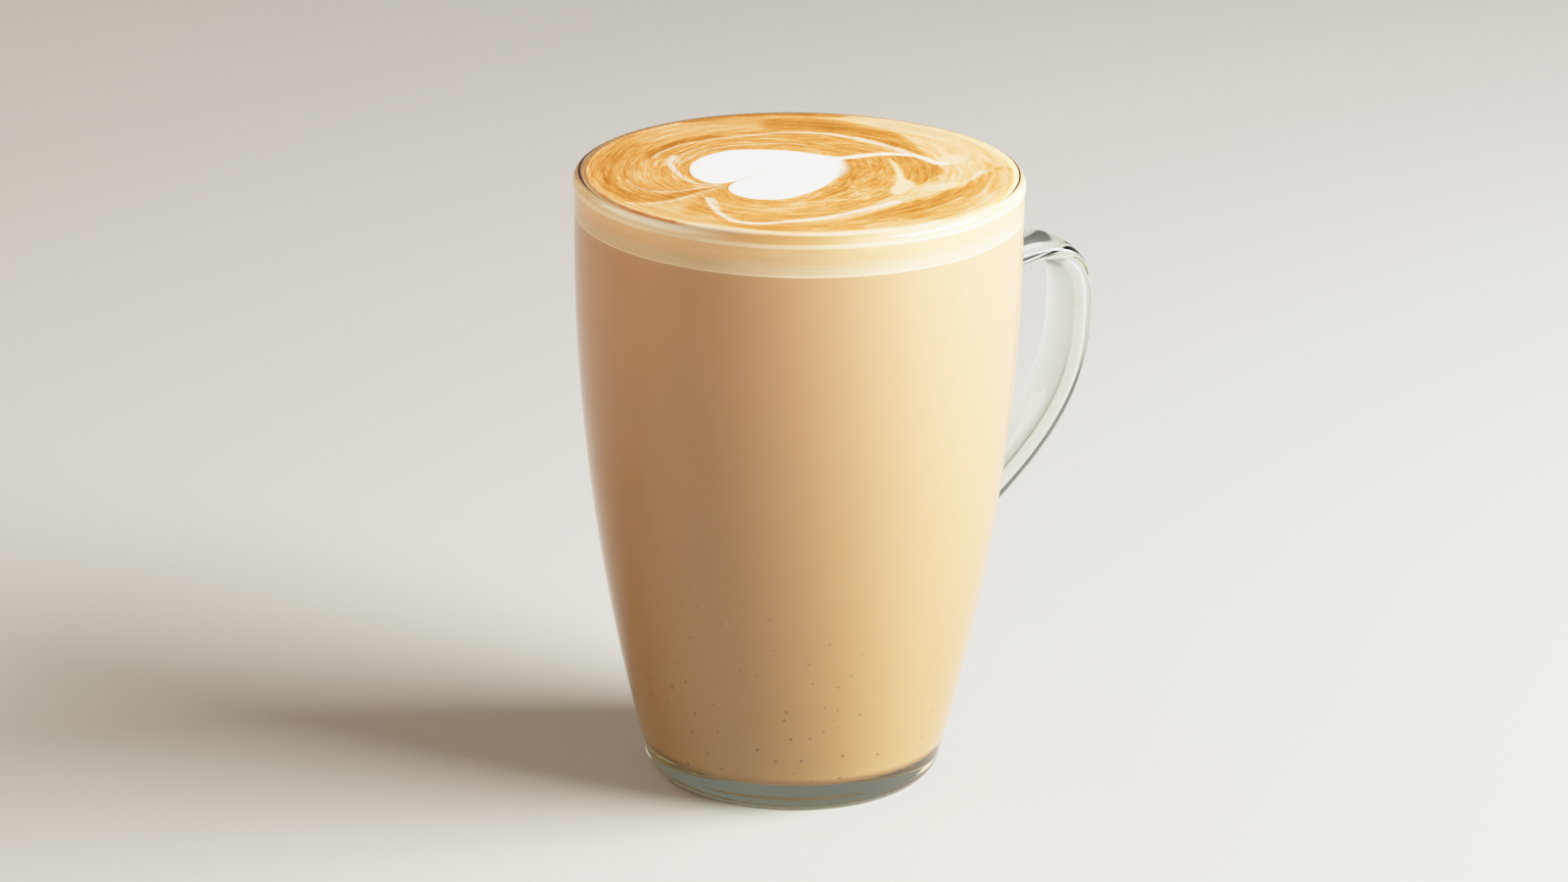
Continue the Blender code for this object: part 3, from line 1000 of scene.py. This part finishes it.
# painted highlight: the foam's edge is paler in a thin ring, standing for the glass rim's bright line,
# but not at the back or at the right
painted_rim_highlight = fade(radius, FOAM_EDGE - RIM_HIGHLIGHT_WITHIN, FOAM_EDGE - RIM_HIGHLIGHT_FULLY)
painted_rim_highlight = painted_rim_highlight * away_from("back") * away_from("right")
print("foam's edge at", round(FOAM_EDGE, 1), "mm")

# %% Store the attributes
SWIRL_CENTRE_X = -4.0
NOT_ZERO = 1e-6

rim_gap = np.maximum(FOAM_EDGE - radius, 0.0)
heart_gap = np.maximum(-heart_depth, 0.0)
turn = np.arctan2(flat_places[:, 1], flat_places[:, 0] - SWIRL_CENTRE_X)
ATTRIBUTES = {
    "heart_depth": heart_depth,
    "heart_softness": softness,
    "milk_lines": milk_lines,
    "pale": patched(PALE_PATCHES, flat_places),
    "tan": patched(TAN_PATCHES, flat_places),
    "dark": patched(DARK_PATCHES, flat_places),
    "edge": painted_rim_highlight,
    "swirl_out": heart_gap / (heart_gap + rim_gap + NOT_ZERO),
    "swirl_x": np.cos(turn),
    "swirl_y": np.sin(turn),
    "wall_cream_and_highlight": away_from("crema at the wall"),
}
for name, values in ATTRIBUTES.items():
    stored = foam.data.attributes.new(name, "FLOAT", "POINT")
    stored.data.foreach_set("value", np.asarray(values, np.float32))
print("attributes:", ", ".join(ATTRIBUTES))

# %% [markdown]
# ## Crema and milk foam
#
# Fresh microfoam is moist and matt, a mass of bubbles too small to see. The crema on it is a
# stain that runs from white, where the milk is bare, through cream and tan to a deep orange
# brown. So one number does the work: how much crema lies here. The patches and lines raise or
# lower it, the streaks ripple it, and one colour ramp turns it into paint. Edges then break up
# along the streaks, as poured ones do. The streaks are noise that is long round the swirl and
# short across it, a fine set about 0.7 mm wide and a broad one of some 2.5 mm. The bubbles of
# the foam are finer than any render shows, so the grain is drawn 0.6 mm across. A few large ones
# have burst and left dark pin-pricks.

# %% The foam's colours and scales
MILK_WHITE = "#f7f3ec"
MILK_THREAD = "#fde8cf"
TAN_FOAM = "#c79563"
PRICK_BROWN = "#7a4a1c"
CREMA_RAMP = [
    # how much crema, colour
    (0.00, "#fbe3c8"),
    (0.20, "#fbcb9c"),
    (0.34, "#efb180"),
    (0.48, "#e3955a"),
    (0.62, "#cf8343"),
    (0.80, "#b57030"),
    (1.00, "#935718"),
]
MUCH_CREMA = 0.59
# the "edge" share pales the crema where the rim highlight is painted
CREMA_SHARES = {"pale": -0.22, "tan": -0.16, "dark": 0.18, "edge": -0.20}
print("the crema ramp has", len(CREMA_RAMP), "colours")

# %% Streaks
FINE_ACROSS = 42.0
FINE_ROUND = 5.0
FINE_DETAIL = 4.0
FINE_SHARE = 0.55
BROAD_ACROSS = 11.0
BROAD_ROUND = 1.8
BROAD_DETAIL = 2.0
BROAD_SHARE = 0.3
GRAIN = 0.6 * MM
GRAIN_SHARE = 0.15
NOISE_MEAN = 0.5


def streaks(material, across, around, detail):
    """Noise in the swirl's own coordinates."""
    swirl = {}
    cells = {"swirl_x": around, "swirl_y": around, "swirl_out": across}
    for axis, (name, count) in enumerate(cells.items()):
        value = add(material, "Attribute", output="Fac", attribute_name=name)
        swirl[axis] = add(material, "Math", {0: value, 1: count}, operation="MULTIPLY")
    return add(material, "TexNoise", {
        "Vector": add(material, "CombineXYZ", swirl),
        "Scale": 1.0,
        "Detail": detail,
        "Roughness": 0.65,
        "Distortion": 0.5,
    })


def rippled(material, place):
    """Fine and broad streaks and a grain, together about 0 on average."""
    fine = streaks(material, FINE_ACROSS, FINE_ROUND, FINE_DETAIL)
    broad = streaks(material, BROAD_ACROSS, BROAD_ROUND, BROAD_DETAIL)
    grain = {"Vector": place, "Scale": 1 / GRAIN, "Detail": 2.0, "Roughness": 0.6}
    grain = add(material, "TexNoise", grain)
    total = -NOISE_MEAN
    for noise, share in ((fine, FINE_SHARE), (broad, BROAD_SHARE), (grain, GRAIN_SHARE)):
        total = add(material, "Math", {0: noise, 1: share, 2: total}, operation="MULTIPLY_ADD")
    return total


print(f"streaks {(FOAM_EDGE - HEART[0][0]) / FINE_ACROSS:.1f} mm wide")

# %% Depth of crema, and the heart
RIPPLE = 2.4
PALE_RIPPLE = 1.2
HEART_WOBBLE = 2.0
HEART_FADE = (-0.5, 0.8)


def crema_depth(material, ripple):
    """How much crema lies at each point, from 0 to 1. Pale patches ripple less."""
    pale = add(material, "Attribute", output="Fac", attribute_name="pale")
    calmer = {0: pale, 1: PALE_RIPPLE - RIPPLE, 2: RIPPLE}
    height = add(material, "Math", calmer, operation="MULTIPLY_ADD")
    depth = {0: ripple, 1: height, 2: MUCH_CREMA}
    depth = add(material, "Math", depth, operation="MULTIPLY_ADD")
    for name, share in CREMA_SHARES.items():
        cover = add(material, "Attribute", output="Fac", attribute_name=name)
        depth = add(material, "Math", {0: cover, 1: share, 2: depth}, operation="MULTIPLY_ADD")
    return depth


def heart_cover(material, ripple):
    """Where the heart lies, with a soft streaky side where the last milk ran out."""
    depth = add(material, "Attribute", output="Fac", attribute_name="heart_depth")
    softness = add(material, "Attribute", output="Fac", attribute_name="heart_softness")
    depth = add(material, "Math", {0: depth, 1: softness}, operation="DIVIDE")
    wobbly = {0: ripple, 1: HEART_WOBBLE, 2: depth}
    depth = add(material, "Math", wobbly, operation="MULTIPLY_ADD")
    fading = {"Value": depth, "From Min": HEART_FADE[0], "From Max": HEART_FADE[1]}
    return add(material, "MapRange", fading, interpolation_type="SMOOTHSTEP")


def set_stops(ramp, stops):
    """Give a colour ramp its (position, colour) stops."""
    for _ in stops[2:]:
        ramp.elements.new(1.0)
    for element, (position, colour) in zip(ramp.elements, stops):
        element.position = position
        element.color = linear(colour)


print("crema without patches:", MUCH_CREMA)

# %% The crema material
PRICKS = {"spacing": 4.2 * MM, "radius": 0.22 * MM, "core": 0.5, "strength": 0.8, "share": 0.10}
TAN_COVER = 0.6
THREAD_BREAKS = 0.45
BREAK_RIPPLE = (0.06, -0.05)
FOAM_TOOTH = 0.12 * MM
TOOTH_STRENGTH = 0.35
FOAM_ROUGHNESS = 0.6
FOAM_IOR = 1.35
FOAM_GLEAM = 0.05


def crema_foam():
    """Moist, nearly matt foam: crema, then lines, heart, cleft and burst bubbles over it."""
    material = new_material("crema on milk microfoam")
    place = add(material, "TexCoord", output="Object")
    ripple = rippled(material, place)
    crema = add(material, "ValToRGB", {"Fac": crema_depth(material, ripple)})
    set_stops(crema.node.color_ramp, CREMA_RAMP)
    tan = add(material, "Attribute", output="Fac", attribute_name="tan")
    tan = add(material, "Math", {0: tan, 1: TAN_COVER}, operation="MULTIPLY")
    lines = add(material, "Attribute", output="Fac", attribute_name="milk_lines")
    whole = add(material, "MapRange", {
        "Value": ripple,
        "From Min": BREAK_RIPPLE[0],
        "From Max": BREAK_RIPPLE[1],
        "To Min": THREAD_BREAKS,
    })
    thread = add(material, "Math", {0: lines, 1: whole}, operation="MULTIPLY")
    cleft = add(material, "Math", {0: lines, 1: -1.0}, operation="MULTIPLY")
    heart = heart_cover(material, ripple)
    outside = add(material, "Math", {0: 1.0, 1: heart}, operation="SUBTRACT")
    prick = dots(material, place, **PRICKS)
    prick = add(material, "Math", {0: prick, 1: outside}, operation="MULTIPLY")
    relief = add(material, "Math", {0: ripple, 1: outside}, operation="MULTIPLY")
    relief = {"Height": relief, "Strength": TOOTH_STRENGTH, "Distance": FOAM_TOOTH}
    colour = painted_over(
        material, crema,
        (tan, TAN_FOAM), (thread, MILK_THREAD), (heart, MILK_WHITE),
        (cleft, TAN_FOAM), (prick, PRICK_BROWN),
    )
    moist = add(material, "BsdfPrincipled", {
        "Base Color": colour,
        "Roughness": FOAM_ROUGHNESS,
        "IOR": FOAM_IOR,
        "Specular IOR Level": FOAM_GLEAM,
        "Normal": add(material, "Bump", relief),
    })
    add(material, "OutputMaterial", {"Surface": moist})
    return material


foam.data.materials.append(crema_foam())
print("foam's index", FOAM_IOR)

# %% [markdown]
# ## The foam seen through the glass
#
# From the side the layer shows as bands: crema under the rim, a thin white line where the bead of
# the rim ends, which is a painted highlight, beige foam, and paler and paler foam down to a light
# line on the coffee. The bands follow height alone, with a slight waver round the mug. The crema
# touches the glass in front only, so the band under the rim is orange there. Elsewhere it is
# painted cream, partly the foam's own colour and partly the bead's highlight, and painted paler at
# the left, where shade falls, than at the right, where the key lamp falls.

# %% The bands
BANDS = [
    # height above the foam's bottom as a share of its side, colour
    (0.000, "#f6d8b8"),
    (0.030, "#f4d5b2"),
    (0.055, "#e4c09c"),
    (0.220, "#dfbb92"),
    (0.330, "#dfb186"),
    (0.440, "#dfab7c"),
    (0.670, "#dfaa7a"),
    # painted highlight: the thin white line where the bead of the rim ends
    (0.705, "#f6d8b4"),
    (0.750, "#f6d4ae"),
    (0.785, "#f0b27a"),
    (0.900, "#f4b074"),
    (1.000, "#facb98"),
]
# painted light: above this share the bands give way to cream with the bead's highlight painted in,
# paler at the left where shade falls and oranger at the right where the key lamp falls
BAND_UNDER_RIM = (0.75, 0.80)
CREAM_AND_HIGHLIGHT_LEFT = "#fff0da"
CREAM_AND_HIGHLIGHT_RIGHT = "#facb9b"
print("bands:", len(BANDS))

# %% The foam's side material
WAVER_LENGTH = 18.0 * MM
WAVER = 0.25 * MM
LAYER_LENGTH = 14.0 * MM
LAYER_HEIGHT = 0.5 * MM
LAYER_TAN = "#c08c5c"
LAYER_NOISE = (0.5, 0.8)
LAYER_SHARE = 0.35
SIDE_ROUGHNESS = 0.5


def foam_side():
    """Foam pressed to glass: matt bands with thin, flat layers of darker bubbles, and painted
    highlights under the rim.
    """
    material = new_material("milk foam against glass")
    place = add(material, "TexCoord", output="Object")
    height = add(material, "SeparateXYZ", {"Vector": place}, output="Z")
    waver = add(material, "TexNoise", {"Vector": place, "Scale": 1 / WAVER_LENGTH, "Detail": 2.0})
    lift = add(material, "MapRange", {"Value": waver, "To Min": -WAVER, "To Max": WAVER})
    height = add(material, "Math", {0: height, 1: lift}, operation="ADD")
    share = {"Value": height, "From Min": FOAM_BOTTOM, "From Max": RIM_HEIGHT}
    share = add(material, "MapRange", share)
    bands = add(material, "ValToRGB", {"Fac": share})
    set_stops(bands.node.color_ramp, BANDS)
    # cream with a painted highlight under the rim, except where the crema touches the glass
    cream = {"Value": share, "From Min": BAND_UNDER_RIM[0], "From Max": BAND_UNDER_RIM[1]}
    cream = add(material, "MapRange", cream)
    no_crema = add(material, "Attribute", output="Fac", attribute_name="wall_cream_and_highlight")
    cream = add(material, "Math", {0: cream, 1: no_crema}, operation="MULTIPLY")
    to_right = add(material, "Attribute", output="Fac", attribute_name="swirl_x")
    to_right = add(material, "Math", {0: to_right, 1: 1.0}, operation="ADD")
    cream_colour = painted_over(material, linear(CREAM_AND_HIGHLIGHT_LEFT), (to_right, CREAM_AND_HIGHLIGHT_RIGHT))
    stretch = (1 / LAYER_LENGTH, 1 / LAYER_LENGTH, 1 / LAYER_HEIGHT)
    flattened = add(material, "Mapping", {"Vector": place, "Scale": stretch})
    layers = add(material, "TexNoise", {"Vector": flattened, "Scale": 1.0, "Detail": 3.0})
    layers = add(material, "MapRange", {
        "Value": layers,
        "From Min": LAYER_NOISE[0],
        "From Max": LAYER_NOISE[1],
        "To Max": LAYER_SHARE,
    })
    prick = dots(material, place, **PRICKS)
    colour = painted_over(
        material, bands, (cream, cream_colour), (layers, LAYER_TAN), (prick, PRICK_BROWN),
    )
    matt = add(material, "BsdfPrincipled", {
        "Base Color": colour,
        "Roughness": SIDE_ROUGHNESS,
        "Specular IOR Level": 0.0,
    })
    add(material, "OutputMaterial", {"Surface": matt})
    return material


foam.data.materials.append(foam_side())
side_from = crown_height(FOAM_REACH) - EDGE_ROUND
for face in foam.data.polygons:
    face.material_index = int(face.center.z < side_from)
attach(foam, "root")
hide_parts("milk_foam", "milk_heart")
print("foam side:", sum(face.material_index for face in foam.data.polygons), "faces")

# %% [markdown]
# ## The floor
#
# The mug stands on a pale matt floor. It lies a hair below the glass, because two surfaces in
# one plane would flicker, and its fine tooth keeps it from looking like paper.

# %% Floor
FLOOR_COLOUR = "#c4c1bb"
FLOOR_ROUGHNESS = 0.6
FLOOR_HALF = 4.0
FLOOR_DROP = 0.1 * MM
TOOTH_SIZE = 3.0 * MM
TOOTH_DEPTH = 0.1 * MM


def floor_paint():
    """Matt painted board: soft, even light with hardly any shine."""
    material = new_material("matt studio floor")
    place = add(material, "TexCoord", output="Object")
    tooth = add(material, "TexNoise", {"Vector": place, "Scale": 1 / TOOTH_SIZE, "Detail": 2.0})
    relief = {"Height": tooth, "Strength": 0.1, "Distance": TOOTH_DEPTH}
    paint = add(material, "BsdfPrincipled", {
        "Base Color": linear(FLOOR_COLOUR),
        "Roughness": FLOOR_ROUGHNESS,
        "Normal": add(material, "Bump", relief),
    })
    add(material, "OutputMaterial", {"Surface": paint})
    return material


corners = [(-1, -1), (1, -1), (1, 1), (-1, 1)]
floor_points = [(x * FLOOR_HALF, y * FLOOR_HALF, -FLOOR_DROP) for x, y in corners]
floor = new_piece("floor", floor_points, [(0, 1, 2, 3)])
floor.data.materials.append(floor_paint())
print("floor", 2 * FLOOR_HALF, "m across")

# %% [markdown]
# ## The camera
#
# It looks down on the rim at about twenty degrees through a long lens, so the wall's sides keep
# nearly parallel. It stands thirty degrees from square to the handle's plane and leans by less
# than a degree. Its three axes are worked out from where it stands and what it looks at.

# %% Camera
CAMERA_PLACE = Vector((-485.5, -840.9, 409.0)) * MM
CAMERA_AIM = Vector((-2.08, 1.2, 68.77)) * MM
CAMERA_LEAN = math.radians(0.72)
CAMERA_LENS = 118.3

camera = bpy.data.objects.new("camera", bpy.data.cameras.new("camera"))
bpy.context.scene.collection.objects.link(camera)
bpy.context.scene.camera = camera
camera.data.lens = CAMERA_LENS
forward = (CAMERA_AIM - CAMERA_PLACE).normalized()
right = forward.cross(Vector((0, 0, 1))).normalized()
up = right.cross(forward)
leaning_right = right * math.cos(CAMERA_LEAN) + up * math.sin(CAMERA_LEAN)
leaning_up = up * math.cos(CAMERA_LEAN) - right * math.sin(CAMERA_LEAN)
turned_to = Matrix((leaning_right, leaning_up, -forward)).transposed().to_4x4()
camera.matrix_world = Matrix.Translation(CAMERA_PLACE) @ turned_to
print("camera stands", round((CAMERA_PLACE - CAMERA_AIM).length, 3), "m away")

# %% [markdown]
# ## The light
#
# The light is a studio's: one large soft lamp almost square to the view on the right, a little
# above the mug, and a wide, weak, warm one opposite. A pale surround fills what is left. A wide
# lamp shows in the glass as a soft band, where a small one would leave a hard spot.

# %% Lamps and surround
LAMP_AIM = Vector((0, 0, 70 * MM))
VIEW_TURN = math.atan2(CAMERA_PLACE.y, CAMERA_PLACE.x)
LAMPS = {
    # name: degrees to the right of the camera, degrees up, metres away, width and height in
    # metres, watts, colour
    "key": (80, 33, 0.9, 0.7, 0.5, 33, "#ffffff"),
    "left fill": (-90, 38, 1.5, 1.8, 1.0, 14, "#ffe4c8"),
}
SURROUND_COLOUR = "#d9d5cd"
SURROUND_STRENGTH = 0.25


def soft_lamp(name, side_deg, height_deg, distance, width, height, watts, colour):
    """A rectangular lamp that faces the mug."""
    turn = VIEW_TURN + math.radians(side_deg)
    lift = math.radians(height_deg)
    flat = math.cos(lift)
    away = Vector((math.cos(turn) * flat, math.sin(turn) * flat, math.sin(lift)))
    lamp = bpy.data.objects.new(name, bpy.data.lights.new(name, "AREA"))
    bpy.context.scene.collection.objects.link(lamp)
    lamp.data.shape = "RECTANGLE"
    lamp.data.size = width
    lamp.data.size_y = height
    lamp.data.energy = watts
    lamp.data.color = linear(colour)[:3]
    lamp.location = LAMP_AIM + away * distance
    lamp.rotation_mode = "QUATERNION"
    lamp.rotation_quaternion = away.to_track_quat("Z", "Y")


for name, settings in LAMPS.items():
    soft_lamp(name, *settings)
world = bpy.data.worlds.new("surround")
bpy.context.scene.world = world
world.use_nodes = True
surround = world.node_tree.nodes["Background"]
surround.inputs["Color"].default_value = linear(SURROUND_COLOUR)
surround.inputs["Strength"].default_value = SURROUND_STRENGTH
print("lamps:", ", ".join(LAMPS))

# %% [markdown]
# ## Exposure
#
# A camera rolls off bright light gently instead of cutting it at white. The view stays Standard,
# and a curve ahead of it gives that shoulder, so colours keep their hue in the middle tones.

# %% The film curve
SHOULDER = 1.02
SHOULDER_POWER = 2.0
BRIGHTEST = 6.0
COMBINED = 3
CURVE_POINTS = [0.0, 0.01, 0.03, 0.06, 0.1, 0.16, 0.24, 0.34, 0.46, 0.6, 0.78, 1.0]

view = bpy.context.scene.view_settings
view.view_transform = "Standard"
view.use_curve_mapping = True
mapping = view.curve_mapping
mapping.white_level = (BRIGHTEST, BRIGHTEST, BRIGHTEST)
combined = mapping.curves[COMBINED]
for share in CURVE_POINTS[1:-1]:
    combined.points.new(share, share)
for point, share in zip(combined.points, CURVE_POINTS):
    light = share * BRIGHTEST
    rolled_off = 1 + (light / SHOULDER) ** SHOULDER_POWER
    rolled = light / rolled_off ** (1 / SHOULDER_POWER)
    point.location = (share, rolled)
mapping.update()
print("full light shows as", round(combined.points[-1].location[1], 3))
